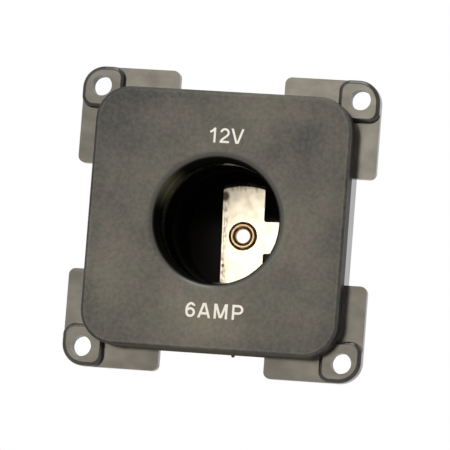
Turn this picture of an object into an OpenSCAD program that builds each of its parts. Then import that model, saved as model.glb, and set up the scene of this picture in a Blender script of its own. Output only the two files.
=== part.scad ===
// Flush-mount 12 V plug socket for a vehicle interior.
// The object hangs on its four screw lugs. Its front faces -Y and +Z is up.
// The origin is the middle of the four screw holes, on the plane of the lugs' backs.
// Each piece is drawn lying on its back, with z towards the front, and turned upright at the end.

/* [Front plate] */
// Side of the square front plate
plate_side = 45.2; // [44:0.1:50]
// Radius of the plate's corners, seen from the front
plate_corner_r = 6; // [5:0.5:7]
// Rounding of the plate's front edge
plate_edge_r = 0.6; // [0.3:0.1:1]
// Distance from the lugs' backs to the front face
face_rise = 8.2; // [7.6:0.2:10]
// Thickness of the plate behind its face
web_t = 2.4; // [2:0.2:3]
// Thickness of the side walls
skirt_t = 1.8; // [1.4:0.2:2.2]
// Reach of the side walls behind the lugs' backs
skirt_reach = 2.6; // [2.2:0.2:5]
// Distance to the right of the middle of the stub that the moulding gate left under the plate
gate_x = 3.2; // [2:0.1:4]
// Diameter of the stub at its root
gate_d = 0.8; // [0.6:0.1:1]
// Height of the stub
gate_h = 0.4; // [0.3:0.1:0.5]

/* [Plug opening] */
// Width of the ring left between the bore and the opening in the plate
opening_step = 0.3; // [0.2:0.1:0.6]
// Rounding of the opening's front edge
opening_lip_r = 1.2; // [0.5:0.1:1.5]
// Depth from the face at which the plug barrel begins
opening_depth = 4; // [3.4:0.2:4.4]

/* [Screw lugs] */
// Distance of a screw hole's middle outside the sides of the plate
hole_out = 0.4; // [0.3:0.1:1]
// Diameter of a screw hole
hole_d = 3.6; // [3:0.1:4]
// Distance from a screw hole's middle to the outer edges of its lug
lug_edge = 3.45; // [3.2:0.05:5]
// Length of each lug along the side of the plate
lug_leg = 17.1; // [14:0.1:19]
// Thickness of a lug
lug_t = 1.8; // [1.2:0.1:2.4]
// Radius of a lug's outer corner
lug_corner_r = 3.9; // [3.2:0.1:4.5]
// Radius of a lug's free ends
lug_end_r = 1.2; // [0.6:0.1:1.6]
// Height of a screw boss over the lug's back
boss_rise = 3.2; // [2.8:0.1:4]
// Distance from a screw hole to the inner edges of its boss
boss_inset = 3.9; // [3.4:0.1:4.3]
// Radius of a boss's other corners
boss_corner_r = 2; // [1.4:0.1:2.4]
// Rounding of a boss's top edge
boss_edge_r = 0.7; // [0.3:0.1:1]

/* [Collar and posts] */
// Thickness of the collar that guides the barrel
collar_t = 1.5; // [1.2:0.1:2]
// Play between the collar and the barrel, on the radius
collar_play = 0.2; // [0.1:0.05:0.3]
// Distance from the middle of a screw post to the inside of the walls
post_inset = 5.2; // [4.8:0.1:5.4]
// Diameter of a screw post
post_d = 5.8; // [5:0.2:6.4]
// Diameter of the pilot hole in a post
pilot_d = 2.5; // [2.2:0.1:2.7]
// Plastic left between a pilot hole and the face
pilot_floor = 1.4; // [1:0.1:2]

/* [Plug barrel] */
// Bore that takes the body of the plug
bore_d = 21.4; // [21.2:0.1:21.6]
// Width of the step in the bore
step_w = 0.4; // [0.3:0.1:0.6]
// Depth of the step, from the face
step_depth = 17; // [15:0.5:18]
// Depth of the barrel's floor, from the face
floor_depth = 30.4; // [29:0.2:34]
// Thickness of the floor
floor_t = 1.5; // [1.2:0.1:2.4]
// Thickness of the barrel's wall in front of the step
wall_t = 1.8; // [1.6:0.1:2]
// Rounding of the barrel's front inner edge
barrel_lip_r = 0.35; // [0.2:0.05:0.6]
// Gap between the barrel's front edge and its shoulder
barrel_gap = 0.1; // [0.05:0.05:0.3]
// Thickness of the square flange
flange_t = 2; // [1.6:0.1:2.2]
// Play between the flange and the side walls
flange_play = 0.2; // [0.1:0.05:0.4]
// Length of the gussets behind the flange
gusset_l = 6; // [4:0.5:8]
// Thickness of a gusset
gusset_t = 1.5; // [1:0.1:2]

/* [Centre contact] */
// Thickness of the contact strip
strip_t = 0.8; // [0.6:0.1:1]
// Width of the bar across the floor
bar_w = 7.6; // [7:0.1:9]
// Distance of the bar's middle to the left of its eyelet
bar_shift = 0.05; // [0:0.05:0.4]
// Gap between the ends of the bar and the barrel's wall
bar_end_gap = 0.6; // [0.5:0.1:1.6]
// Radius of the bar's ends
bar_end_r = 14; // [10:0.5:20]
// Length of the bevel at each end of the bar
bar_bevel_l = 0.7; // [0.3:0.1:1]
// Depth of that bevel
bar_bevel_h = 0.5; // [0.2:0.1:0.7]
// Width of the arm that leaves through the wall
arm_w = 5.7; // [5:0.1:6.3]
// Distance of the arm below the middle
arm_drop = 0.2; // [0:0.05:0.5]
// Radius of the inner corners between the bar and the arm
arm_root_r = 0.4; // [0.2:0.1:0.8]
// Play above the arm in its slot
slot_play = 0.25; // [0.15:0.05:0.4]
// Play beside the arm in its slot, for the turned strip
slot_side_play = 1; // [0.9:0.1:1.4]
// Turn of the strip on its eyelet, in degrees
strip_turn = 2; // [0:0.25:2.5]
// Inner radius of the bend outside the wall
bend_r = 0.4; // [0.3:0.1:0.8]

/* [Blade terminals] */
// Width of a blade
blade_w = 6.3; // [4.8:0.1:6.3]
// Thickness of a blade
blade_t = 0.8; // [0.6:0.1:1]
// Reach of a blade behind the barrel's floor
blade_reach = 8.2; // [7:0.2:10]
// Diameter of the locking hole in a blade
blade_hole_d = 1.7; // [1.2:0.1:2]
// Distance of the locking hole from the tip
blade_hole_l = 3.9; // [3:0.1:4.5]
// Chamfer at the corners of the tip
blade_tip = 1; // [0.5:0.1:1.4]

/* [Eyelets] */
// Outer diameter of the centre eyelet's tube
centre_tube_d = 4; // [3.8:0.1:4.2]
// Diameter of the centre eyelet's throat
centre_throat_d = 2.5; // [2.2:0.1:2.7]
// Radius of the centre eyelet's rolled rims
centre_roll_r = 0.6; // [0.5:0.05:0.7]
// Outer diameter of the earth eyelet's tube
earth_tube_d = 2.6; // [2.4:0.1:2.8]
// Diameter of the earth eyelet's throat
earth_throat_d = 1.8; // [1.6:0.1:1.9]
// Radius of the earth eyelet's rolled rims
earth_roll_r = 0.4; // [0.35:0.05:0.5]
// Wall of an eyelet's tube where it is rolled over at the back
eyelet_wall = 0.3; // [0.25:0.05:0.35]
// Length of an eyelet's throat
throat_l = 0.6; // [0.4:0.1:0.8]
// Play round an eyelet's tube in its holes, on the radius
eyelet_play = 0.1; // [0.05:0.05:0.15]
// Diameter of the washer under the centre eyelet
washer_d = 7.2; // [6.4:0.2:8.4]
// Thickness of the washer
washer_t = 0.5; // [0.4:0.1:0.8]

/* [Earth contact] */
// Width of the sprung leaf
leaf_w = 6.2; // [5:0.1:6.4]
// Thickness of the leaf
leaf_t = 0.5; // [0.3:0.1:0.6]
// Depth of the leaf's groove in the barrel's wall
groove_depth = 0.3; // [0.2:0.05:0.4]
// Play beside the leaf in its groove
groove_play = 0.2; // [0.1:0.05:0.3]
// Gap between the leaf's foot and the floor, clear of the contact strip
leaf_foot_gap = 2; // [1.8:0.1:2.4]
// Length of the leaf's flat foot
leaf_foot_l = 5.2; // [4.8:0.1:5.6]
// Height of the leaf's bow towards the axis
leaf_bow = 0.8; // [0.4:0.1:1]
// Gap between the leaf's front end and the step
leaf_tip_gap = 0.3; // [0.2:0.1:1]
// Distance of the earth eyelet from the barrel's floor
earth_eyelet_h = 4.5; // [4.2:0.1:4.7]
// Distance that the terminal's flat seat stands out of the barrel
pad_rise = 0.3; // [0.2:0.05:0.5]
// Plastic beside the terminal on its seat
pad_margin = 0.4; // [0.2:0.1:0.8]
// Length of the terminal in front of its eyelet
terminal_lead = 3.9; // [3:0.1:5]

/* [Flange screws] */
// Diameter of a screw's head
head_d = 5.2; // [4.8:0.1:5.6]
// Height of a screw's head
head_h = 1.8; // [1.5:0.1:2.2]
// Rounding of a head's top edge
head_edge_r = 0.8; // [0.4:0.1:1.2]
// Play between a screw and its pilot hole, on the radius
pilot_play = 0.05; // [0.05:0.01:0.1]
// Play between a screw and the flange, on the radius
shank_play = 0.35; // [0.2:0.05:0.5]
// Gap between a screw's tip and the end of its pilot hole
tip_gap = 0.5; // [0.3:0.1:1]
// Width of the cross slot
slot_w = 0.7; // [0.5:0.1:0.9]
// Length of the cross slot
slot_l = 3; // [2.4:0.1:3.4]
// Depth of the cross slot
slot_depth = 1; // [0.8:0.1:1.2]

/* [Hidden] */
$fn = 64;
// How far a cutting tool runs past what it cuts
past = 1;
// Heights over the plane of the lugs' backs
web_z = face_rise - web_t;
shoulder_z = face_rise - opening_depth;
skirt_z = -skirt_reach;
seat_z = skirt_z + flange_t;
pilot_z = face_rise - pilot_floor;
step_z = face_rise - step_depth;
floor_z = face_rise - floor_depth;
back_z = floor_z - floor_t;
blade_z = back_z - blade_reach;
strip_z = floor_z + strip_t;
washer_z = back_z - washer_t;
earth_z = floor_z + earth_eyelet_h;
// Widths and radii that follow from the driving sizes
hole_at = plate_side / 2 + hole_out;
lug_at = hole_at + lug_edge;
cavity_side = plate_side - 2 * skirt_t;
post_at = cavity_side / 2 - post_inset;
cavity_r = plate_corner_r - skirt_t;
flange_side = cavity_side - 2 * flange_play;
flange_r = cavity_r - flange_play;
bore_r = bore_d / 2;
opening_r = bore_r + opening_step;
deep_r = bore_r - step_w;
groove_r = deep_r + groove_depth;
barrel_r = bore_r + wall_t;
collar_r = barrel_r + collar_play;
pad_x = barrel_r + pad_rise;
blade_x = barrel_r + bend_r;
shank_r = pilot_d / 2 - pilot_play;
GREY = "#63605a";
BLACK = "#141414";
NICKEL = "#d8d4c8";
BRASS = "#b08d4c";
ZINC = "#b8bcc0";

// Stands a piece up: what was drawn towards +z now faces -Y
module upright() {
    rotate([90, 0, 0]) children();
}

// A quarter of a disc, in the corner between +x and +y
module quarter(r) {
    intersection() {
        circle(r);
        square(r);
    }
}

// Centre of the arc at corner i of a rounded_outline, which is the corner itself where its radius is 0
function corner_centre(size, radii, i) = [
    (i == 0 || i == 3) ? radii[i] : size.x - radii[i],
    (i == 0 || i == 1) ? radii[i] : size.y - radii[i]
];

// Points of the outline at corner i: the start of its arc, the arc's centre and its end
function corner_points(size, radii, i) = let (c = corner_centre(size, radii, i), turn = 90 * i)
    radii[i] > 0
        ? [c - radii[i] * [cos(turn), sin(turn)], c, c + radii[i] * [sin(turn), -cos(turn)]]
        : [c];

// Rectangle from [0, 0] to size, with its own radius at each corner: bottom left, then anticlockwise
module rounded_outline(size, radii) {
    polygon([for (i = [0:3]) each corner_points(size, radii, i)]);
    for (i = [0:3]) {
        if (radii[i] > 0) translate(corner_centre(size, radii, i)) rotate(180 + 90 * i) quarter(radii[i]);
    }
}

// Block on a rounded_outline, with its top edge rounded by edge_r
module rounded_block(size, radii, h, edge_r) {
    inset = [for (r = radii) r - edge_r];
    linear_extrude(h - edge_r) rounded_outline(size, radii);
    translate([edge_r, edge_r, h - edge_r])
        linear_extrude(edge_r) rounded_outline([size.x - 2 * edge_r, size.y - 2 * edge_r], inset);
    for (i = [0:3]) {
        next = (i + 1) % 4;
        side = (i % 2 == 0) ? size.x : size.y;
        c = corner_centre(size, radii, i);
        translate([c.x, c.y, h - edge_r]) rotate([0, 0, 90 * i]) {
            rotate([0, 0, 180]) rotate_extrude(angle = 90) translate([inset[i], 0]) quarter(edge_r);
            translate([0, -inset[i], 0]) rotate([90, 0, 90])
                linear_extrude(side - radii[i] - radii[next]) mirror([1, 0]) quarter(edge_r);
        }
    }
}

// A centred square outline with four equal corner radii
module centred_outline(side, r) {
    translate([-side / 2, -side / 2]) rounded_outline([side, side], [r, r, r, r]);
}

// Repeats a shape drawn at the top right in all four corners, turned to fit
module four_corners() {
    for (i = [0:3]) rotate([0, 0, 90 * i]) children();
}

// Places a shape at four points of a square pattern, without mirroring it
module at_corners(reach) {
    for (sx = [1, -1], sy = [1, -1]) translate([sx * reach, sy * reach, 0]) children();
}

// Plan of the lug at the top right: two legs round the plate's corner, up to the middle of its wall
module lug_plan() {
    inner = plate_side - skirt_t;
    leg_w = lug_at - inner / 2 + plate_corner_r;
    difference() {
        union() {
            translate([lug_at - lug_leg, lug_at - leg_w])
                rounded_outline([lug_leg, leg_w], [0, 0, lug_corner_r, lug_end_r]);
            translate([lug_at - leg_w, lug_at - lug_leg])
                rounded_outline([leg_w, lug_leg], [0, lug_end_r, lug_corner_r, 0]);
        }
        centred_outline(inner, plate_corner_r - skirt_t / 2);
    }
}

// Raised boss round the screw hole at the top right
module boss() {
    low = hole_at - boss_inset;
    side = lug_at - low;
    translate([low, low, 0])
        rounded_block([side, side], [boss_corner_r, boss_corner_r, lug_corner_r, boss_corner_r],
                      boss_rise, boss_edge_r);
}

// Cuts the plug opening with its rounded front edge
module opening_cut() {
    lip_r = opening_r + opening_lip_r;
    lip_z = face_rise - opening_lip_r;
    rotate_extrude() {
        translate([0, seat_z - past]) square([opening_r, lip_z - seat_z + past]);
        difference() {
            translate([0, lip_z]) square([lip_r, opening_lip_r]);
            translate([lip_r, lip_z]) circle(opening_lip_r);
        }
        translate([0, face_rise]) square([lip_r, past]);
    }
}

// Broken-off stub of the moulding gate, a blunt cone under the bottom wall
module gate_stub() {
    translate([gate_x, gate_h - plate_side / 2, skirt_z + gate_d]) rotate([90, 0, 0])
        cylinder(d1 = gate_d * 3 / 2, d2 = gate_d / 2, h = 2 * gate_h);
}

module front_moulding() {
    color(GREY) upright() difference() {
        union() {
            gate_stub();
            difference() {
                union() {
                    translate([-plate_side / 2, -plate_side / 2, skirt_z])
                        rounded_block([plate_side, plate_side],
                                      [plate_corner_r, plate_corner_r, plate_corner_r, plate_corner_r],
                                      face_rise - skirt_z, plate_edge_r);
                    four_corners() {
                        linear_extrude(lug_t) lug_plan();
                        boss();
                    }
                }
                translate([0, 0, skirt_z - past])
                    linear_extrude(web_z - skirt_z + past) centred_outline(cavity_side, cavity_r);
            }
            translate([0, 0, seat_z]) cylinder(r = collar_r + collar_t, h = web_z - seat_z);
            at_corners(post_at) translate([0, 0, seat_z]) cylinder(d = post_d, h = web_z - seat_z);
        }
        opening_cut();
        translate([0, 0, seat_z - past]) cylinder(r = collar_r, h = shoulder_z - seat_z + past);
        at_corners(post_at) translate([0, 0, seat_z - past])
            cylinder(d = pilot_d, h = pilot_z - seat_z + past);
        at_corners(hole_at) translate([0, 0, -past]) cylinder(d = hole_d, h = boss_rise + 2 * past);
    }
}

// Takes the earth contact, which is drawn on the left, to its place at the bottom of the barrel
module at_bottom() {
    rotate([0, 0, 90]) children();
}

// Section of the barrel's wall and floor, on one side of its axis
module barrel_section() {
    rim_z = shoulder_z - barrel_gap;
    translate([0, back_z]) square([barrel_r, floor_t]);
    translate([deep_r, floor_z]) square([barrel_r - deep_r, step_z - floor_z]);
    translate([bore_r, step_z]) square([barrel_r - bore_r, rim_z - barrel_lip_r - step_z]);
    translate([bore_r + barrel_lip_r, rim_z - barrel_lip_r])
        square([barrel_r - bore_r - barrel_lip_r, barrel_lip_r]);
    translate([bore_r + barrel_lip_r, rim_z - barrel_lip_r]) mirror([1, 0]) quarter(barrel_lip_r);
}

// Square flange with its four screw holes
module flange() {
    difference() {
        translate([0, 0, skirt_z]) linear_extrude(flange_t) centred_outline(flange_side, flange_r);
        translate([0, 0, skirt_z - past]) cylinder(r = barrel_r - skirt_t / 2, h = flange_t + 2 * past);
        at_corners(post_at) translate([0, 0, skirt_z - past])
            cylinder(r = shank_r + shank_play, h = flange_t + 2 * past);
    }
}

// Gusset between the flange and the barrel, on the +x side
module gusset() {
    root = barrel_r - skirt_t / 2;
    translate([0, gusset_t / 2, 0]) rotate([90, 0, 0]) linear_extrude(gusset_t) polygon([
        [root, skirt_z],
        [barrel_r + gusset_l, skirt_z],
        [root, skirt_z - gusset_l]
    ]);
}

module barrel() {
    groove_w = leaf_w + 2 * groove_play;
    pad_w = blade_w + 2 * pad_margin;
    pad_top = earth_z + terminal_lead + pad_margin;
    slot_side = arm_w / 2 + slot_side_play;
    color(BLACK) upright() difference() {
        union() {
            rotate_extrude() barrel_section();
            flange();
            for (i = [0:3]) rotate([0, 0, 90 * i]) gusset();
            at_bottom() translate([-pad_x, -pad_w / 2, back_z])
                cube([pad_x - groove_r - leaf_t, pad_w, pad_top - back_z]);
        }
        at_bottom() translate([-groove_r, -groove_w / 2, floor_z])
            cube([groove_r, groove_w, step_z - floor_z]);
        translate([0, -slot_side, floor_z]) cube([barrel_r + past, 2 * slot_side, strip_t + slot_play]);
        translate([0, 0, back_z - past])
            cylinder(r = centre_tube_d / 2 + eyelet_play, h = floor_t + 2 * past);
        at_bottom() translate([-pad_x - past, 0, earth_z]) rotate([0, 90, 0])
            cylinder(r = earth_tube_d / 2 + eyelet_play, h = pad_x);
    }
}

// Outline of a blade that runs down to its tip at y = 0, with its locking hole
module blade_outline(l) {
    difference() {
        polygon([
            [-blade_w / 2, l],
            [-blade_w / 2, blade_tip],
            [-blade_w / 2 + blade_tip, 0],
            [blade_w / 2 - blade_tip, 0],
            [blade_w / 2, blade_tip],
            [blade_w / 2, l]
        ]);
        translate([0, blade_hole_l]) circle(d = blade_hole_d);
    }
}

// Stands a flat outline up, facing +x, with its back at x and its lowest point at z
module stand_plate(x, z, t) {
    translate([x, 0, z]) rotate([90, 0, 90]) linear_extrude(t) children();
}

// Plate of the strip's thickness with a bevelled round edge, which shapes one end of the bar
module end_disc() {
    rotate_extrude() polygon([
        [0, 0],
        [bar_end_r, 0],
        [bar_end_r, strip_t - bar_bevel_h],
        [bar_end_r - bar_bevel_l, strip_t],
        [0, strip_t]
    ]);
}

// Bar of the contact strip: two long sides and two round, bevelled ends
module bar() {
    half = deep_r - bar_end_gap;
    intersection() {
        translate([-bar_w / 2 - bar_shift, -half - past, 0]) cube([bar_w, 2 * (half + past), strip_t]);
        translate([0, half - bar_end_r, 0]) end_disc();
        translate([0, bar_end_r - half, 0]) end_disc();
    }
}

// Arm of the contact strip, with round inner corners where it leaves the bar
module arm_plan() {
    root_x = bar_w / 2 - bar_shift;
    translate([0, -arm_w / 2 - arm_drop]) square([barrel_r, arm_w]);
    for (side = [-1, 1]) translate([root_x, side * arm_w / 2 - arm_drop]) scale([1, side]) difference() {
        square(arm_root_r);
        translate([arm_root_r, arm_root_r]) circle(arm_root_r);
    }
}

module contact_strip() {
    bend_z = floor_z - bend_r;
    color(NICKEL) upright() rotate([0, 0, strip_turn]) {
        difference() {
            translate([0, 0, floor_z]) {
                bar();
                linear_extrude(strip_t) arm_plan();
            }
            translate([0, 0, floor_z - past])
                cylinder(r = centre_tube_d / 2 + eyelet_play, h = strip_t + 2 * past);
        }
        translate([barrel_r, arm_w / 2 - arm_drop, bend_z]) rotate([90, 0, 0])
            linear_extrude(arm_w) difference() {
                quarter(bend_r + strip_t);
                circle(bend_r);
            }
        translate([0, -arm_drop, 0]) stand_plate(blade_x, blade_z, strip_t) blade_outline(bend_z - blade_z);
    }
}

// Hollow eyelet along z, clamping what lies between the heights low and high.
// Its front rim dips in a round funnel to a throat, behind which the tube widens to the rear rim.
module eyelet(low, high, tube_d, throat_d, roll_r) {
    tube_r = tube_d / 2;
    throat_r = throat_d / 2;
    rear_r = tube_r - eyelet_wall;
    funnel_r = tube_r - throat_r;
    funnel_z = high + roll_r - funnel_r;
    rotate_extrude() {
        translate([tube_r, high]) quarter(roll_r);
        translate([tube_r, funnel_z]) mirror([1, 0]) quarter(funnel_r);
        polygon([
            [throat_r, funnel_z],
            [throat_r, funnel_z - throat_l],
            [rear_r, low],
            [tube_r, low],
            [tube_r, funnel_z]
        ]);
        translate([rear_r + roll_r, low]) mirror([0, 1]) {
            quarter(roll_r);
            mirror([1, 0]) quarter(roll_r);
        }
    }
}

module centre_eyelet() {
    color(BRASS) upright() eyelet(washer_z, strip_z, centre_tube_d, centre_throat_d, centre_roll_r);
}

module centre_washer() {
    color(ZINC) upright() difference() {
        translate([0, 0, washer_z]) cylinder(d = washer_d, h = washer_t);
        translate([0, 0, washer_z - past])
            cylinder(r = centre_tube_d / 2 + eyelet_play, h = washer_t + 2 * past);
    }
}

// Side view of the leaf: x towards the axis, y towards the front
module leaf_profile() {
    foot_y = floor_z + leaf_foot_gap;
    tip_y = step_z - leaf_tip_gap;
    bow_y = (foot_y + leaf_foot_l + tip_y) / 2;
    polygon([
        [0, foot_y],
        [leaf_t, foot_y],
        [leaf_t, foot_y + leaf_foot_l],
        [leaf_t + leaf_bow, bow_y],
        [leaf_t, tip_y],
        [0, tip_y],
        [leaf_bow, bow_y],
        [0, foot_y + leaf_foot_l]
    ]);
}

module earth_spring() {
    color(NICKEL) upright() at_bottom() difference() {
        translate([-groove_r, leaf_w / 2, 0]) rotate([90, 0, 0]) linear_extrude(leaf_w) leaf_profile();
        translate([-groove_r - past, 0, earth_z]) rotate([0, 90, 0])
            cylinder(r = earth_tube_d / 2 + eyelet_play, h = leaf_t + 2 * past);
    }
}

module earth_terminal() {
    color(NICKEL) upright() at_bottom() difference() {
        stand_plate(-pad_x - blade_t, blade_z, blade_t) blade_outline(earth_z + terminal_lead - blade_z);
        translate([-pad_x - blade_t - past, 0, earth_z]) rotate([0, 90, 0])
            cylinder(r = earth_tube_d / 2 + eyelet_play, h = blade_t + 2 * past);
    }
}

module earth_eyelet() {
    color(BRASS) upright() at_bottom() translate([0, 0, earth_z]) rotate([0, 90, 0])
        eyelet(-pad_x - blade_t, leaf_t - groove_r, earth_tube_d, earth_throat_d, earth_roll_r);
}

// Self-tapping screw at one corner of the flange, with its cross slot at the back
module flange_screw(sx, sy) {
    head_r = head_d / 2;
    tip_z = pilot_z - tip_gap;
    color(ZINC) upright() translate([sx * post_at, sy * post_at, skirt_z]) difference() {
        union() {
            cylinder(r = shank_r, h = tip_z - skirt_z);
            mirror([0, 0, 1]) rotate_extrude() {
                square([head_r, head_h - head_edge_r]);
                translate([0, head_h - head_edge_r]) square([head_r - head_edge_r, head_edge_r]);
                translate([head_r - head_edge_r, head_h - head_edge_r]) quarter(head_edge_r);
            }
        }
        for (turn = [0, 90]) rotate([0, 0, turn])
            translate([-slot_l / 2, -slot_w / 2, -head_h - past]) cube([slot_l, slot_w, slot_depth + past]);
    }
}

module screw_top_left() {
    flange_screw(-1, 1);
}

module screw_top_right() {
    flange_screw(1, 1);
}

module screw_bottom_left() {
    flange_screw(-1, -1);
}

module screw_bottom_right() {
    flange_screw(1, -1);
}

front_moulding();
barrel();
contact_strip();
centre_eyelet();
centre_washer();
earth_spring();
earth_terminal();
earth_eyelet();
screw_top_left();
screw_top_right();
screw_bottom_left();
screw_bottom_right();
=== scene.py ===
"""Looks of the flush-mount 12 V plug socket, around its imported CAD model. Lengths are in metres."""

import math

import bmesh
import bpy
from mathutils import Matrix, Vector


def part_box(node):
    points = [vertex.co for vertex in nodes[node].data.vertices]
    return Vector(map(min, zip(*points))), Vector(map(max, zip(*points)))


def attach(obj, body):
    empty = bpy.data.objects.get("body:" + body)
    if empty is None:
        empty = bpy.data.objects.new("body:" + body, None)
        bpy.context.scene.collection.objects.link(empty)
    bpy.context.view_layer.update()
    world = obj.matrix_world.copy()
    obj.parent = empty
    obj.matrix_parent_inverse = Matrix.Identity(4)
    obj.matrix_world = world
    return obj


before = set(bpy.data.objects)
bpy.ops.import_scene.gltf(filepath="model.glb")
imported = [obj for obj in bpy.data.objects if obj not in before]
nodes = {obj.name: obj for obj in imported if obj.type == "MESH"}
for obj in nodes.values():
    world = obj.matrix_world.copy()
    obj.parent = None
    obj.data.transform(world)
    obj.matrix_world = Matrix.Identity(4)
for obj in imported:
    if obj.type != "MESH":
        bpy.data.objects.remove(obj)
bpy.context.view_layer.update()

MM = 0.001

# Results of a range that rises or falls from its start to its end
UP = (0, 1)
DOWN = (1, 0)

# Camera, worked out from the plate's edges and the screw holes in the photograph. Its turn is in
# degrees, its lens and sensor are in millimetres
CAMERA_PLACE = (118.81 * MM, -677.64 * MM, -57.52 * MM)
CAMERA_TURN = (94.794, -4.420, 9.549)
CAMERA_LENS = 315.3
SENSOR_WIDTH = 36.0
CLIP_START = 0.01

# Zones of the front moulding, each with the start and the end of its border. Depths are behind the
# face, the lip's middle lies a little beside the barrel's axis, and the plate's end is a distance
# outside its outline
face_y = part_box("front_moulding")[0].y
SIDE_DEPTH = (0.5 * MM, 0.9 * MM)
LUGS_DEPTH = (4.65 * MM, 4.85 * MM)
LIP_X = 0.35 * MM
LIP_R = (11.6 * MM, 12.1 * MM)
OPENING_WALL_R = (11.05 * MM, 11.25 * MM)
SCREW_HOLE_AT = 23 * MM
HOLE_WALL_R = (1.8 * MM, 1.85 * MM)
UNDERSIDE_Z = (-22.5 * MM, -22.4 * MM)
PLATE_SIDE = 45.2 * MM
PLATE_CORNER_R = 6 * MM
PLATE_END = (0.03 * MM, 0.06 * MM)

# Mottles: scale of the noise in features per metre, its detail, the span of it that counts, what
# that span becomes, and the stretch of its place
SPECKLE = (1500, 5, (0.3, 0.7), (-0.38, 0.38))
CLOUD = (150, 2, (0.3, 0.7), (-0.22, 0.36))
BLOTCH = (210, 2, (0.4, 0.6), UP, (1.3, 1, 1))
LUG_FILM = (230, 4, (0.32, 0.68), (0.43, 0.62), (1, 1, 1.6))
SCRATCH_GAPS = (1300, 4, (0.4, 0.6), (0.15, 0.8))
GRIME = (1700, 6, (0.45, 0.66), UP, (1, 1, 0.5))
HAZE = (420, 5, (0.42, 0.7), (0, 0.2))
STRIP_MARKS = (900, 4, (0.3, 0.7), (0.38, 0.46))
BRASS_TARNISH = (1500, 2, (0.35, 0.65), UP)
INK_SHADE = (3000, 2, (0.3, 0.7), UP)

# Brightness of the textured face. It takes the face from its dark colours at 0 to its pale ones at
# 1, and is the sum of two mottles, of patches of painted light and shade and of what lies along the
# plate's outline: a soft painted shade, a painted highlight line (middle and reach) and a rim of
# painted shade, darkest on the left
FACE_DARK = ((0.060, 0.059, 0.045), (0.065, 0.058, 0.048))
FACE_PALE = ((0.115, 0.111, 0.083), (0.124, 0.109, 0.089))
SHADE = (-4 * MM, -0.7 * MM)
SHADE_RISE = (0, -0.35)
HIGHLIGHT_LINE = (-0.62 * MM, 0.2 * MM)
HIGHLIGHT_LINE_RISE = 0.45
RIM_SHADE = (-0.5 * MM, -0.2 * MM)
RIM_SHADE_X = (-20 * MM, 20 * MM)
RIM_SHADE_RISE = (-1.1, -0.25)
# Patches of painted light and shade, pale low, on the right and at the top, dark at the top
# corners: X, Z, reach and rise
LIGHT_AND_SHADE_PATCHES = (
    (-1 * MM, -17 * MM, 13 * MM, 1.0),
    (11.5 * MM, -2 * MM, 9 * MM, 0.6),
    (8 * MM, 20.5 * MM, 9 * MM, 0.5),
    (-20 * MM, -9 * MM, 11 * MM, 0.45),
    (-18 * MM, 18 * MM, 13 * MM, -0.65),
    (13.5 * MM, 13.5 * MM, 9 * MM, -0.6),
)

# Other colours of the front moulding. A pale painted reflection lies on the walls of the screw
# holes, and dust greys the underside
MOULDING_COLOUR = (0.09, 0.086, 0.077)
LUG_COLOURS = ((0.01, 0.009, 0.006), (0.02, 0.015, 0.009))
LIP_COLOUR = (0.052, 0.05, 0.044)
WALL_COLOUR = (0.009, 0.009, 0.008)
HOLE_REFLECTION_COLOUR = (0.2, 0.188, 0.157)
UNDERSIDE_COLOUR = (0.1, 0.094, 0.08)

# Gloss of the front moulding: roughness, specular levels and what some zones lose of them
FACE_ROUGHNESS = 0.5
LUG_ROUGHNESS = 0.17
LIP_ROUGHNESS = 0.26
HOLE_ROUGHNESS = 0.35
PLAIN_SPECULAR = 0.5
WALL_SPECULAR = 0.05
SIDE_LOSS = 0.42
HOLE_LOSS = 0.25
# Patches of the lugs with less or more gloss: X, Z, reach and rise of the specular level
GREASY_PATCHES = (
    (-25 * MM, 18 * MM, 14 * MM, -0.1),
    (-23 * MM, -24 * MM, 15 * MM, 0.12),
)
TEXTURE_SCALE = 5200
TEXTURE_DETAIL = 3
TEXTURE_HEIGHT = 0.03 * MM
TEXTURE_STRENGTH = 0.4

# Barrel: its bore, which is dull behind its step, a little less so low on the right, and the ring
# near the mouth that plugs have rubbed bright
BARREL_COLOUR = (0.006, 0.006, 0.006)
BARREL_ROUGHNESS = 0.14
BARREL_SPECULAR = 0.25
DEEP_ROUGHNESS = 0.32
BORE_WALL_R = (11.55 * MM, 11.65 * MM)
STEP_TO_SPRING = (0.5 * MM, 0.4 * MM)
step_y = [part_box("earth_spring")[0].y - gap for gap in STEP_TO_SPRING]
LESS_DULL_X = (3 * MM, 5 * MM)
LESS_DULL_Z = (1 * MM, 4 * MM)
DEEP_SPECULAR = (0.03, 0.11)
MOUTH_RING_Y = 0.0
MOUTH_RING_REACH = 1.6 * MM

# Painted highlight, a pale olive crescent at the front of the bore, at the top left
HIGHLIGHT_COLOUR = (0.15, 0.145, 0.09)
HIGHLIGHT_X = -9.4 * MM
HIGHLIGHT_Z = 5.6 * MM
HIGHLIGHT_R = 4.5 * MM
HIGHLIGHT_END_Y = (-1 * MM, 2 * MM)

# Contact strip. Its turn is in degrees, and U and V are places across and along it, each a middle
# and reach or a start and end. A scratch runs beside its left edge, a line crosses its lower part
# and a seam its upper end, and grime lies along the left edge and at the top
STRIP_COLOUR = (0.93, 0.88, 0.78)
DIRT_COLOUR = (0.07, 0.045, 0.03)
STRIP_ROUGHNESS = 0.45
STRIP_TURN = 2.0
SCRATCH_U = (-3.52 * MM, 0.13 * MM)
SCRATCH_ENDS_V = (-6 * MM, 8 * MM)
LINE_V = (-4.75 * MM, 0.1 * MM)
LINE_ENDS_U = (-3.4 * MM, 0 * MM)
LINE_DIRT = 0.3
SEAM_V = (8.75 * MM, 0.12 * MM)
SEAM_DIRT = 0.5
GRIME_U = (-3.5 * MM, -2.4 * MM)
EDGE_GRIME = (0.75, 0)
GRIME_V = (7.2 * MM, 9.2 * MM)
TOP_GRIME = (0, 0.6)
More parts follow.
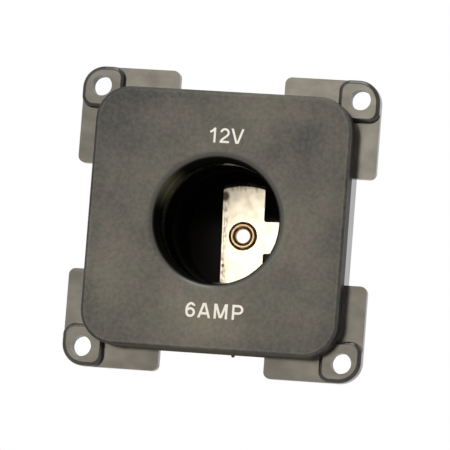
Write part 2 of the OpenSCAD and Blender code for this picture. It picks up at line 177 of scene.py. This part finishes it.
# Stains: U, V and reach. Their cores are even, and they are a little longer than wide
STAINS = ((-3.5 * MM, 7.15 * MM, 1.05 * MM), (-3.46 * MM, -5.4 * MM, 0.4 * MM))
STAIN_CORE = 0.4
STAIN_DIRT = 0.95
STAIN_SQUEEZE = (1, 0, 0.8)

# Other metals and the ink
NICKEL_COLOUR = (0.74, 0.71, 0.64)
NICKEL_ROUGHNESS = (0.28, 0.4)
ROLLED = (1, 1, 8)
ZINC_COLOUR = (0.6, 0.61, 0.62)
ZINC_ROUGHNESS = (0.25, 0.4)
PLATING_SCALE = 2500
PLATING_DETAIL = 3
PLATING_SPAN = (0.3, 0.7)
PLATING_HEIGHT = 0.01 * MM
PLATING_STRENGTH = 0.15
BRASS_COLOUR = (0.62, 0.45, 0.27)
BRASS_COLOURS = ((0.54, 0.37, 0.2), (0.66, 0.48, 0.29))
BRASS_ROUGHNESS = 0.34
INK_COLOUR = (0.88, 0.86, 0.8)
INK_COLOURS = ((0.84, 0.82, 0.75), (0.92, 0.9, 0.84))
INK_ROUGHNESS = 0.6

# Rating marks printed on the face. Strokes that meet differ a little in thickness, so that no two
# of their tops lie in one plane
CAP_HEIGHT = 2.6 * MM
INK = 0.02 * MM
INK_STEP = 0.003 * MM
INK_STEPS = 3
UPPER_BASELINE = 13.53 * MM
UPPER_STROKE = 0.37 * MM
LOWER_BASELINE = -17.0 * MM
LOWER_STROKE = 0.41 * MM

# Light. Each lamp has its place, width, height, radiance and colour
BACKGROUND = 1.0
AMBIENT = 0.2
LAMPS = {
    "softbox": ((-95 * MM, -760 * MM, 90 * MM), 240 * MM, 270 * MM, 4.1, (1.0, 0.88, 0.66)),
    "wide_glow": ((-330 * MM, -850 * MM, 460 * MM), 900 * MM, 900 * MM, 1.1, (1.0, 0.97, 0.92)),
    "softbox_core": ((-110 * MM, -755 * MM, 140 * MM), 110 * MM, 90 * MM, 1.6, (1.0, 0.9, 0.7)),
    "top_light": ((0.0, -250 * MM, 600 * MM), 300 * MM, 600 * MM, 4.2, (1.0, 0.97, 0.92)),
    "table_bounce": ((10 * MM, -90 * MM, -120 * MM), 80 * MM, 40 * MM, 2.8, (1.0, 0.84, 0.62)),
}
WHITE = (1, 1, 1)
FLOOR_Z = -85 * MM
FLOOR_SIZE = 3.0
FLOOR_GLOW = 0.45
FLOOR_COLOUR = (0.9, 0.9, 0.9)
FLOOR_ROUGHNESS = 0.9


# Material helpers

def new_material(name, colour, roughness, metallic=0.0):
    """A Principled material; returns it, its node tree and its shader."""
    material = bpy.data.materials.new(name)
    material.use_nodes = True
    shader = material.node_tree.nodes["Principled BSDF"]
    shader.inputs["Base Color"].default_value = (*colour, 1.0)
    shader.inputs["Roughness"].default_value = roughness
    shader.inputs["Metallic"].default_value = metallic
    return material, material.node_tree, shader


def feed(tree, socket, value):
    """Links a socket to an output, or sets it to a colour or a number."""
    if isinstance(value, bpy.types.NodeSocket):
        tree.links.new(value, socket)
    elif isinstance(value, tuple):
        socket.default_value = (*value, 1.0)
    else:
        socket.default_value = value


def add_math(tree, operation, first, *others):
    """Math nodes in a row over an output and one or more other outputs or numbers."""
    for other in others:
        node = tree.nodes.new("ShaderNodeMath")
        node.operation = operation
        tree.links.new(first, node.inputs[0])
        feed(tree, node.inputs[1], other)
        first = node.outputs[0]
    return first


def add_vector(tree, operation, first, second=(0, 0, 0)):
    """A Vector Math node with a fixed second input; returns its vector."""
    node = tree.nodes.new("ShaderNodeVectorMath")
    node.operation = operation
    node.inputs[1].default_value = second
    tree.links.new(first, node.inputs[0])
    return node.outputs["Vector"]


def add_range(tree, value, span, result, smooth=False):
    """Maps value, as it goes from the start of span to its end, from the start of result to its end."""
    node = tree.nodes.new("ShaderNodeMapRange")
    node.interpolation_type = "SMOOTHSTEP" if smooth else "LINEAR"
    tree.links.new(value, node.inputs["Value"])
    node.inputs["From Min"].default_value = span[0]
    node.inputs["From Max"].default_value = span[1]
    node.inputs["To Min"].default_value = result[0]
    node.inputs["To Max"].default_value = result[1]
    return node.outputs["Result"]


def add_choice(tree, mask, outside, inside):
    """One number where a mask is 0, another where it is 1."""
    return add_range(tree, mask, (0, 1), (outside, inside))


def add_band(tree, value, middle, reach):
    """1 where value is at middle, down to 0 at reach from it."""
    offset = add_math(tree, "SUBTRACT", value, middle)
    return add_range(tree, add_math(tree, "ABSOLUTE", offset, 0), (0, reach), DOWN)


def add_span(tree, value, start, end):
    """1 where value lies between start and end, 0 elsewhere."""
    return add_math(tree, "GREATER_THAN", add_band(tree, value, (start + end) / 2, (end - start) / 2), 0)


def add_mix(tree, factor, first, second, clamped=True):
    """Colour mix of two colours or outputs. Its sockets for colours are inputs 6 and 7 and output 2."""
    node = tree.nodes.new("ShaderNodeMix")
    node.data_type = "RGBA"
    node.clamp_factor = clamped
    tree.links.new(factor, node.inputs[0])
    feed(tree, node.inputs[6], first)
    feed(tree, node.inputs[7], second)
    return node.outputs[2]


def add_bump(tree, shader, height, distance, strength):
    """Bump from a height output; strength is a number or an output."""
    bump = tree.nodes.new("ShaderNodeBump")
    bump.inputs["Distance"].default_value = distance
    tree.links.new(height, bump.inputs["Height"])
    feed(tree, bump.inputs["Strength"], strength)
    tree.links.new(bump.outputs["Normal"], shader.inputs["Normal"])


def object_place(tree):
    """The place on an object, in its own coordinates."""
    return tree.nodes.new("ShaderNodeTexCoord").outputs["Object"]


def split_axes(tree, place):
    """The outputs X, Y and Z of a vector."""
    split = tree.nodes.new("ShaderNodeSeparateXYZ")
    tree.links.new(place, split.inputs["Vector"])
    return split.outputs["X"], split.outputs["Y"], split.outputs["Z"]


def add_noise(tree, scale, detail, stretch=(1, 1, 1)):
    """Noise over the object's own coordinates, its scale in features per metre."""
    mapping = tree.nodes.new("ShaderNodeMapping")
    noise = tree.nodes.new("ShaderNodeTexNoise")
    mapping.inputs["Scale"].default_value = stretch
    noise.inputs["Scale"].default_value = scale
    noise.inputs["Detail"].default_value = detail
    tree.links.new(object_place(tree), mapping.inputs["Vector"])
    tree.links.new(mapping.outputs["Vector"], noise.inputs["Vector"])
    return noise.outputs["Fac"]


def add_mottle(tree, scale, detail, span, result, stretch=(1, 1, 1), smooth=False):
    """Noise with a span of its values mapped to result."""
    return add_range(tree, add_noise(tree, scale, detail, stretch), span, result, smooth)


# Distances seen from the front

def front_length(tree, vector, squeeze=(1, 0, 1)):
    """Length of a vector without its depth."""
    node = tree.nodes.new("ShaderNodeVectorMath")
    node.operation = "LENGTH"
    tree.links.new(add_vector(tree, "MULTIPLY", vector, squeeze), node.inputs[0])
    return node.outputs["Value"]


def axis_distance(tree, x=0.0, z=0.0):
    """Distance from the barrel's axis, or from a line beside it at x and z."""
    return front_length(tree, add_vector(tree, "SUBTRACT", object_place(tree), (x, 0, z)))


def outline_distance(tree):
    """Distance from the plate's rounded-square outline; negative inside it."""
    straight = PLATE_SIDE / 2 - PLATE_CORNER_R
    folded = add_vector(tree, "ABSOLUTE", object_place(tree))
    past = add_vector(tree, "MAXIMUM", add_vector(tree, "SUBTRACT", folded, (straight, 0, straight)))
    return add_math(tree, "SUBTRACT", front_length(tree, past), PLATE_CORNER_R)


def hole_distance(tree):
    """Distance from the axis of the nearest screw hole."""
    folded = add_vector(tree, "ABSOLUTE", object_place(tree))
    return front_length(tree, add_vector(tree, "SUBTRACT", folded, (SCREW_HOLE_AT, 0, SCREW_HOLE_AT)))


def add_spot(tree, x, z, reach, rise):
    """A soft round spot: rise in its middle at x and z, 0 at its reach."""
    return add_range(tree, axis_distance(tree, x, z), (0, reach), (rise, 0), smooth=True)


# Front moulding

def moulding_zones(tree):
    """Masks of the front moulding's zones, 1 inside and 0 outside."""
    _, y, z = split_axes(tree, object_place(tree))
    depth = add_math(tree, "SUBTRACT", y, face_y)
    plate = add_range(tree, outline_distance(tree), PLATE_END, DOWN)
    return {
        "side": add_range(tree, depth, SIDE_DEPTH, UP),
        "lugs": add_range(tree, depth, LUGS_DEPTH, UP),
        "lip": add_range(tree, axis_distance(tree, LIP_X), LIP_R, DOWN),
        "wall": add_range(tree, axis_distance(tree), OPENING_WALL_R, DOWN),
        "hole": add_range(tree, hole_distance(tree), HOLE_WALL_R, DOWN),
        "underside": add_math(tree, "MULTIPLY", add_range(tree, z, UNDERSIDE_Z, DOWN), plate),
    }


def face_brightness(tree, cloud):
    """Brightness of the textured face with its painted light and shade; the patches and the rim may go past
    0 and 1.
    """
    x, _, _ = split_axes(tree, object_place(tree))
    edge = outline_distance(tree)
    shade = add_range(tree, edge, SHADE, SHADE_RISE, smooth=True)
    # Painted highlight along the edge's rounding, and a rim of painted shade that is darkest on the left
    highlight_line = add_math(tree, "MULTIPLY", add_band(tree, edge, *HIGHLIGHT_LINE), HIGHLIGHT_LINE_RISE)
    rim_shade = add_math(tree, "MULTIPLY", add_range(tree, edge, RIM_SHADE, UP), add_range(tree, x, RIM_SHADE_X, RIM_SHADE_RISE))
    patches = [add_spot(tree, *patch) for patch in LIGHT_AND_SHADE_PATCHES]
    return add_math(tree, "ADD", add_mottle(tree, *SPECKLE), cloud, *patches, shade, highlight_line, rim_shade)


def moulding_colour(tree, zones):
    """Colour of each zone of the front moulding."""
    cloud = add_mottle(tree, *CLOUD)
    blotch = add_mottle(tree, *BLOTCH, smooth=True)
    dark = add_mix(tree, blotch, *FACE_DARK)
    pale = add_mix(tree, blotch, *FACE_PALE)
    face = add_mix(tree, face_brightness(tree, cloud), dark, pale, clamped=False)
    # The opening's wall is near black, with the bore mouth's painted highlight at the top left
    wall = add_mix(tree, add_spot(tree, HIGHLIGHT_X, HIGHLIGHT_Z, HIGHLIGHT_R, 1), WALL_COLOUR, HIGHLIGHT_COLOUR)
    lip = add_mix(tree, zones["wall"], LIP_COLOUR, wall)
    front = add_mix(tree, zones["lip"], face, lip)
    clean = add_mix(tree, zones["lugs"], front, add_mix(tree, cloud, *LUG_COLOURS))
    # Painted reflection on the walls of the screw holes, and dust on the underside
    reflection_and_dust = add_mix(tree, zones["underside"], HOLE_REFLECTION_COLOUR, UNDERSIDE_COLOUR)
    return add_mix(tree, add_math(tree, "MAXIMUM", zones["underside"], zones["hole"]), clean, reflection_and_dust)


def moulding_roughness(tree, zones):
    """Roughness of each zone of the front moulding."""
    lugs = add_choice(tree, zones["lugs"], FACE_ROUGHNESS, LUG_ROUGHNESS)
    lip = add_choice(tree, zones["lip"], FACE_ROUGHNESS, LIP_ROUGHNESS)
    holes = add_math(tree, "MULTIPLY", zones["hole"], HOLE_ROUGHNESS)
    return add_math(tree, "MAXIMUM", add_math(tree, "MINIMUM", lugs, lip), holes)


def moulding_specular(tree, zones):
    """Specular level of each zone of the front moulding. The underside mirrors nothing."""
    front = add_choice(tree, zones["wall"], PLAIN_SPECULAR, WALL_SPECULAR)
    patches = [add_spot(tree, *patch) for patch in GREASY_PATCHES]
    film = add_math(tree, "ADD", add_mottle(tree, *LUG_FILM), *patches)
    lugs = add_math(tree, "MULTIPLY", zones["lugs"], add_math(tree, "SUBTRACT", film, PLAIN_SPECULAR))
    sides = add_math(tree, "MULTIPLY", zones["side"], add_choice(tree, zones["lugs"], SIDE_LOSS, 0))
    holes = add_math(tree, "MULTIPLY", zones["hole"], HOLE_LOSS)
    full = add_math(tree, "ADD", front, lugs)
    return add_math(tree, "MAXIMUM", add_math(tree, "SUBTRACT", full, sides, zones["underside"], holes), 0)


def moulding_plastic():
    """Near-black plastic, glossy on the lugs and satin round the opening. Fine texture greys the rest."""
    material, tree, shader = new_material("grey_moulding", MOULDING_COLOUR, FACE_ROUGHNESS)
    zones = moulding_zones(tree)
    feed(tree, shader.inputs["Base Color"], moulding_colour(tree, zones))
    feed(tree, shader.inputs["Roughness"], moulding_roughness(tree, zones))
    feed(tree, shader.inputs["Specular IOR Level"], moulding_specular(tree, zones))
    smooth = add_math(tree, "MAXIMUM", zones["lugs"], zones["lip"])
    texture = add_noise(tree, TEXTURE_SCALE, TEXTURE_DETAIL)
    add_bump(tree, shader, texture, TEXTURE_HEIGHT, add_choice(tree, smooth, TEXTURE_STRENGTH, 0))
    return material


# Other materials

def barrel_plastic():
    """Black plastic, satin outside, with a bright ring and a painted highlight in the mouth of a dull bore.
    """
    material, tree, shader = new_material("black_barrel", BARREL_COLOUR, BARREL_ROUGHNESS)
    x, y, z = split_axes(tree, object_place(tree))
    bore = add_range(tree, axis_distance(tree), BORE_WALL_R, DOWN)
    deep = add_math(tree, "MULTIPLY", bore, add_range(tree, y, step_y, UP))
    mouth = add_math(tree, "SUBTRACT", bore, deep)
    outside = add_choice(tree, bore, BARREL_SPECULAR, 0)
    wiped = add_range(tree, x, LESS_DULL_X, DEEP_SPECULAR)
    inside = add_math(tree, "MULTIPLY", deep, wiped, add_range(tree, z, LESS_DULL_Z, DOWN))
    ring = add_math(tree, "MULTIPLY", mouth, add_band(tree, y, MOUTH_RING_Y, MOUTH_RING_REACH))
    feed(tree, shader.inputs["Specular IOR Level"], add_math(tree, "ADD", outside, inside, ring))
    feed(tree, shader.inputs["Roughness"], add_choice(tree, deep, BARREL_ROUGHNESS, DEEP_ROUGHNESS))
    # Painted highlight: a pale crescent at the top left of the bore's mouth, fading with depth
    spot = add_spot(tree, HIGHLIGHT_X, HIGHLIGHT_Z, HIGHLIGHT_R, 1)
    highlight = add_math(tree, "MULTIPLY", spot, mouth, add_range(tree, y, HIGHLIGHT_END_Y, DOWN, smooth=True))
    feed(tree, shader.inputs["Base Color"], add_mix(tree, highlight, BARREL_COLOUR, HIGHLIGHT_COLOUR))
    return material


def plated_metal(name, colour, roughness, stretch=(1, 1, 1)):
    """Bright plated metal with faint marks."""
    material, tree, shader = new_material(name, colour, roughness[0], metallic=1.0)
    marks = add_noise(tree, PLATING_SCALE, PLATING_DETAIL, stretch)
    feed(tree, shader.inputs["Roughness"], add_range(tree, marks, PLATING_SPAN, roughness))
    add_bump(tree, shader, marks, PLATING_HEIGHT, PLATING_STRENGTH)
    return material


def add_stain(tree, place, u, v, reach):
    """A round stain on the contact strip, from its dirt in the core to 0 at its reach."""
    from_middle = front_length(tree, add_vector(tree, "SUBTRACT", place, (u, 0, v)), STAIN_SQUEEZE)
    return add_range(tree, from_middle, (reach * STAIN_CORE, reach), (STAIN_DIRT, 0), smooth=True)


def strip_dirt(tree):
    """How dirty the contact strip is, from 0 to 1: the strongest of its marks."""
    turned = tree.nodes.new("ShaderNodeMapping")
    turned.inputs["Rotation"].default_value = (0, math.radians(STRIP_TURN), 0)
    tree.links.new(object_place(tree), turned.inputs["Vector"])
    place = turned.outputs["Vector"]
    across, _, along = split_axes(tree, place)
    scratched = add_span(tree, along, *SCRATCH_ENDS_V)
    broken = add_mottle(tree, *SCRATCH_GAPS)
    scratch = add_math(tree, "MULTIPLY", add_band(tree, across, *SCRATCH_U), broken, scratched)
    lined = add_span(tree, across, *LINE_ENDS_U)
    line = add_math(tree, "MULTIPLY", add_band(tree, along, *LINE_V), LINE_DIRT, lined)
    seam = add_math(tree, "MULTIPLY", add_band(tree, along, *SEAM_V), SEAM_DIRT)
    edge = add_range(tree, across, GRIME_U, EDGE_GRIME, smooth=True)
    top = add_range(tree, along, GRIME_V, TOP_GRIME, smooth=True)
    grime = add_math(tree, "MULTIPLY", add_mottle(tree, *GRIME), add_math(tree, "MAXIMUM", edge, top))
    stains = [add_stain(tree, place, *stain) for stain in STAINS]
    return add_math(tree, "MAXIMUM", scratch, line, grime, seam, add_mottle(tree, *HAZE), *stains)


def strip_metal():
    """Dull nickel plate of the contact strip, with a scratch, lines, grime, a faint haze and two stains."""
    material, tree, shader = new_material("nickel_contact", STRIP_COLOUR, STRIP_ROUGHNESS, metallic=1.0)
    feed(tree, shader.inputs["Base Color"], add_mix(tree, strip_dirt(tree), STRIP_COLOUR, DIRT_COLOUR))
    feed(tree, shader.inputs["Roughness"], add_mottle(tree, *STRIP_MARKS))
    return material


def brass_metal():
    """Rolled brass, a little tarnished."""
    material, tree, shader = new_material("eyelet_brass", BRASS_COLOUR, BRASS_ROUGHNESS, metallic=1.0)
    tarnish = add_mottle(tree, *BRASS_TARNISH)
    feed(tree, shader.inputs["Base Color"], add_mix(tree, tarnish, *BRASS_COLOURS))
    return material


def ink_paint():
    """Cream-white printing ink."""
    material, tree, shader = new_material("mark_ink", INK_COLOUR, INK_ROUGHNESS)
    feed(tree, shader.inputs["Base Color"], add_mix(tree, add_mottle(tree, *INK_SHADE), *INK_COLOURS))
    return material


# Rating marks

def arc(x, y, rx, ry, start, end, steps=14):
    """Points of an elliptical arc, in units of the cap height."""
    turns = [math.radians(start + (end - start) * i / steps) for i in range(steps + 1)]
    return [(x + rx * math.cos(t), y + ry * math.sin(t)) for t in turns]


# A stroke's end is cut level where the stroke climbs more steeply than this sine
STEEP = 0.75
# A centre line is closed where its ends are nearer than this share of the stroke's width
MEETING = 0.01
# Centre lines of each letter's strokes, in units of the cap height from the middle of its foot
FOOT_BAR = 0.075
TOP_BAR = 1 - FOOT_BAR
BOWL = 0.68
MIDDLE_BAR = 2 * BOWL - TOP_BAR
GLYPHS = {
    "1": [[(0.02, 0), (0.02, 1)], [(-0.29, 0.7), (-0.13, 0.79), (0, 0.93)]],
    "2": [
        arc(0, 0.68, 0.25, 0.25, 172, -25) + [(0.1, 0.44), (-0.12, 0.27), (-0.22, 0.15), (-0.25, 0.04)],
        [(-0.32, FOOT_BAR), (0.31, FOOT_BAR)],
    ],
    "V": [[(-0.36, 1), (-0.03, 0)], [(0.36, 1), (0.03, 0)]],
    "6": [
        arc(0, 0.33, 0.25, 0.25, 0, 360, steps=28),
        arc(0.02, 0.67, 0.24, 0.25, 22, 100, steps=8)
        + [(-0.15, 0.83), (-0.24, 0.65), (-0.26, 0.45), (-0.25, 0.33)],
    ],
    "A": [[(-0.36, 0), (-0.03, 1)], [(0.36, 0), (0.03, 1)], [(-0.25, 0.3), (0.25, 0.3)]],
    "M": [
        [(-0.38, 0), (-0.38, 1)],
        [(-0.34, 1), (-0.02, 0.05)],
        [(0.34, 1), (0.02, 0.05)],
        [(0.38, 0), (0.38, 1)],
    ],
    "P": [
        [(-0.3, 0), (-0.3, 1)],
        [(-0.3, TOP_BAR), (0.04, TOP_BAR)] + arc(0.04, BOWL, 0.26, TOP_BAR - BOWL, 80, -80)
        + [(0.04, MIDDLE_BAR), (-0.3, MIDDLE_BAR)],
    ],
}
# Each mark's letters and their places along X
UPPER_MARK = (("1", -1.33 * MM), ("2", 0.49 * MM), ("V", 2.73 * MM))
LOWER_MARK = (("6", -3.18 * MM), ("A", -0.75 * MM), ("M", 2.16 * MM), ("P", 5.13 * MM))


def is_closed(points, width):
    """True where a centre line ends where it starts."""
    return (points[0] - points[-1]).length < width * MEETING


def stroke_sides(points, width):
    """Left and right edges of a stroke of even width along a centre line, its steep ends cut level."""
    sides = []
    last = len(points) - 1
    closed = is_closed(points, width)
    for i, point in enumerate(points):
        before = points[i - 1] if i > 0 else (points[last - 1] if closed else None)
        after = points[i + 1] if i < last else (points[1] if closed else None)
        pairs = ((before, point), (point, after))
        ways = [(b - a).normalized() for a, b in pairs if a is not None and b is not None]
        normals = [Vector((-way.y, way.x)) for way in ways]
        middle = sum(normals, Vector((0, 0))).normalized()
        if len(ways) == 1 and abs(ways[0].y) > STEEP:
            middle = Vector((math.copysign(1, -ways[0].y), 0))
        reach = width / 2 / middle.dot(normals[0])
        sides.append((point + middle * reach, point - middle * reach))
    return sides


def add_stroke(mesh, points, x, foot, width, thickness):
    """One stroke as a thin raised strip on the face. A closed one is a ring without ends."""
    line = [Vector((x + CAP_HEIGHT * u, foot + CAP_HEIGHT * v)) for u, v in points]
    closed = is_closed(line, width)
    sides = stroke_sides(line, width)
    if closed:
        sides.pop()
    levels = (face_y, face_y - thickness)
    rows = [[mesh.verts.new((p.x, y, p.y)) for p in pair for y in levels] for pair in sides]
    if closed:
        rows.append(rows[0])
    for a, b in zip(rows, rows[1:]):
        for i, j in ((1, 3), (0, 1), (3, 2), (2, 0)):
            mesh.faces.new((a[i], a[j], b[j], b[i]))
    if not closed:
        for end in (rows[0], rows[-1]):
            mesh.faces.new((end[0], end[1], end[3], end[2]))


def add_marks(name, glyphs, foot, width):
    """A printed mark, its letters at the given places along X."""
    mesh = bmesh.new()
    strokes = [(points, x) for glyph, x in glyphs for points in GLYPHS[glyph]]
    for count, (points, x) in enumerate(strokes):
        add_stroke(mesh, points, x, foot, width, INK + INK_STEP * (count % INK_STEPS))
    bmesh.ops.recalc_face_normals(mesh, faces=mesh.faces)
    data = bpy.data.meshes.new(name)
    mesh.to_mesh(data)
    mesh.free()
    data.materials.append(INK_PAINT)
    piece = bpy.data.objects.new(name, data)
    bpy.context.scene.collection.objects.link(piece)
    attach(piece, "root")


# Dress the CAD nodes and add the marks

def dress(names, material):
    """Gives CAD nodes their material."""
    for name in names:
        nodes[name].data.materials.clear()
        nodes[name].data.materials.append(material)


NICKEL = plated_metal("nickel_terminals", NICKEL_COLOUR, NICKEL_ROUGHNESS, ROLLED)
ZINC = plated_metal("zinc_screws", ZINC_COLOUR, ZINC_ROUGHNESS)
INK_PAINT = ink_paint()
dress(["front_moulding"], moulding_plastic())
dress(["barrel"], barrel_plastic())
dress(["contact_strip"], strip_metal())
dress(["earth_spring", "earth_terminal"], NICKEL)
dress(["centre_eyelet", "earth_eyelet"], brass_metal())
dress(["centre_washer"] + [name for name in nodes if name.startswith("screw_")], ZINC)

add_marks("voltage_mark", UPPER_MARK, UPPER_BASELINE, UPPER_STROKE)
add_marks("current_mark", LOWER_MARK, LOWER_BASELINE, LOWER_STROKE)


# Stage: floor, world, lamps and camera

def background_rays(tree):
    """1 for the rays that should meet a white background: the camera's and those of mirrors and glass."""
    path = tree.nodes.new("ShaderNodeLightPath")
    return add_math(tree, "MAXIMUM", path.outputs["Is Camera Ray"], path.outputs["Is Glossy Ray"],
                    path.outputs["Is Transmission Ray"])


def add_floor():
    """Pale floor below the socket, which keeps its shadow."""
    half = FLOOR_SIZE / 2
    data = bpy.data.meshes.new("floor")
    corners = [(x * half, y * half, FLOOR_Z) for x, y in ((-1, -1), (1, -1), (1, 1), (-1, 1))]
    data.from_pydata(corners, [], [(0, 1, 2, 3)])
    floor = bpy.data.objects.new("floor", data)
    bpy.context.scene.collection.objects.link(floor)
    material, tree, shader = new_material("pale_floor", FLOOR_COLOUR, FLOOR_ROUGHNESS)
    feed(tree, shader.inputs["Specular IOR Level"], 0)
    feed(tree, shader.inputs["Emission Color"], WHITE)
    feed(tree, shader.inputs["Emission Strength"], add_choice(tree, background_rays(tree), 0, FLOOR_GLOW))
    data.materials.append(material)


def set_world():
    """White background, which glossy surfaces also show, with a softer ambient light."""
    world = bpy.data.worlds.new("studio")
    world.use_nodes = True
    bpy.context.scene.world = world
    tree = world.node_tree
    background = tree.nodes["Background"]
    feed(tree, background.inputs["Color"], WHITE)
    feed(tree, background.inputs["Strength"], add_choice(tree, background_rays(tree), AMBIENT, BACKGROUND))


def add_lamp(name, place, width, height, radiance, colour):
    """Soft rectangular light that faces the socket. The lugs and the strip mirror the softbox."""
    light = bpy.data.lights.new(name, "AREA")
    light.shape = "RECTANGLE"
    light.size = width
    light.size_y = height
    light.energy = radiance * math.pi * width * height
    light.color = colour
    lamp = bpy.data.objects.new(name, light)
    lamp.location = place
    lamp.rotation_euler = (-Vector(place)).to_track_quat("-Z", "Y").to_euler()
    bpy.context.scene.collection.objects.link(lamp)


def add_camera():
    """Camera at the photograph's place and angle."""
    data = bpy.data.cameras.new("camera")
    data.sensor_width = SENSOR_WIDTH
    data.lens = CAMERA_LENS
    data.clip_start = CLIP_START
    camera = bpy.data.objects.new("camera", data)
    camera.location = CAMERA_PLACE
    camera.rotation_euler = [math.radians(turn) for turn in CAMERA_TURN]
    bpy.context.scene.collection.objects.link(camera)
    bpy.context.scene.camera = camera


add_floor()
set_world()
for name, settings in LAMPS.items():
    add_lamp(name, *settings)
add_camera()
bpy.context.scene.view_settings.view_transform = "Standard"
